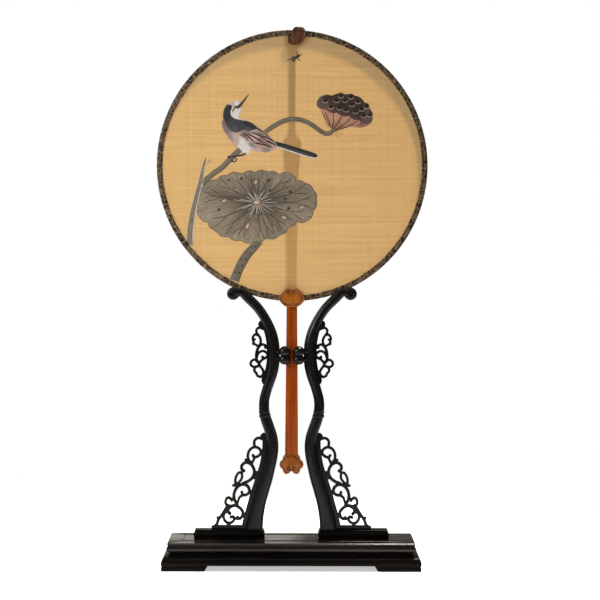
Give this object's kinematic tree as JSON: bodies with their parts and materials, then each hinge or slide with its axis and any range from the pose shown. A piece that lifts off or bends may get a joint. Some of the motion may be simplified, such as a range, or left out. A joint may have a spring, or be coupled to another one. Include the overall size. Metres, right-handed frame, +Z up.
{
  "type": "round silk fan on a display stand",
  "caption": "Round silk hand fan with a wooden handle, resting in a carved blackwood table stand whose arms hold its rim and handle.",
  "frame": {"origin": "on the table, under the middle of the base", "axes": "+Z up, -Y towards the front of the silk, +X to the right seen from the front"},
  "size_m": [0.27, 0.0892, 0.5375],
  "materials": {
    "silk": "satin",
    "embroidery": "satin",
    "brocade": "matte",
    "bamboo": "satin",
    "sandalwood": "gloss",
    "finial_wood": "satin",
    "blackwood": "satin",
    "polished_blackwood": "gloss",
    "brass": "satin"
  },
  "bodies": {
    "stand": {"base_rail_front": "blackwood", "base_rail_back": "blackwood", "base_rail_left": "blackwood", "base_rail_right": "blackwood", "corner_blocks": "blackwood", "top_rail_front": "polished_blackwood", "top_rail_back": "polished_blackwood", "top_stile_left": "polished_blackwood", "top_stile_right": "polished_blackwood", "top_panel": "polished_blackwood", "panel_batten_left": "blackwood", "panel_batten_right": "blackwood", "shoe_left": "blackwood", "shoe_right": "blackwood", "post_left": "blackwood", "post_right": "blackwood", "post_screws": "brass", "lower_fret_left": "blackwood", "lower_fret_right": "blackwood"},
    "arm_left": {"arm_left": "blackwood", "upper_fret_left": "blackwood", "clasp_front_left": "blackwood", "clasp_back_left": "blackwood"},
    "arm_right": {"arm_right": "blackwood", "upper_fret_right": "blackwood", "clasp_front_right": "blackwood", "clasp_back_right": "blackwood"},
    "fan": {"hoop": "bamboo", "silk_leaf": "silk", "brocade_binding": "brocade", "spine": "bamboo", "handle": "sandalwood", "handle_end": "sandalwood", "handle_end_pin": "bamboo", "collar_front": "sandalwood", "collar_back": "sandalwood", "collar_pins": "bamboo", "finial": "finial_wood", "finial_pin": "bamboo"}
  },
  "joints": [
    {"name": "arm_left_lift", "type": "slide", "parent": "stand", "child": "arm_left", "axis": [0, 0, 1], "range_m": [0, 0.012]},
    {"name": "arm_right_lift", "type": "slide", "parent": "stand", "child": "arm_right", "axis": [0, 0, 1], "range_m": [0, 0.012]},
    {"name": "fan_lift", "type": "slide", "parent": "arm_left", "child": "fan", "axis": [0, 0, 1], "range_m": [0, 0.19]}
  ],
  "couplings": [
    {"joint": "arm_right_lift", "follows": "arm_left_lift", "ratio": 1}
  ]
}
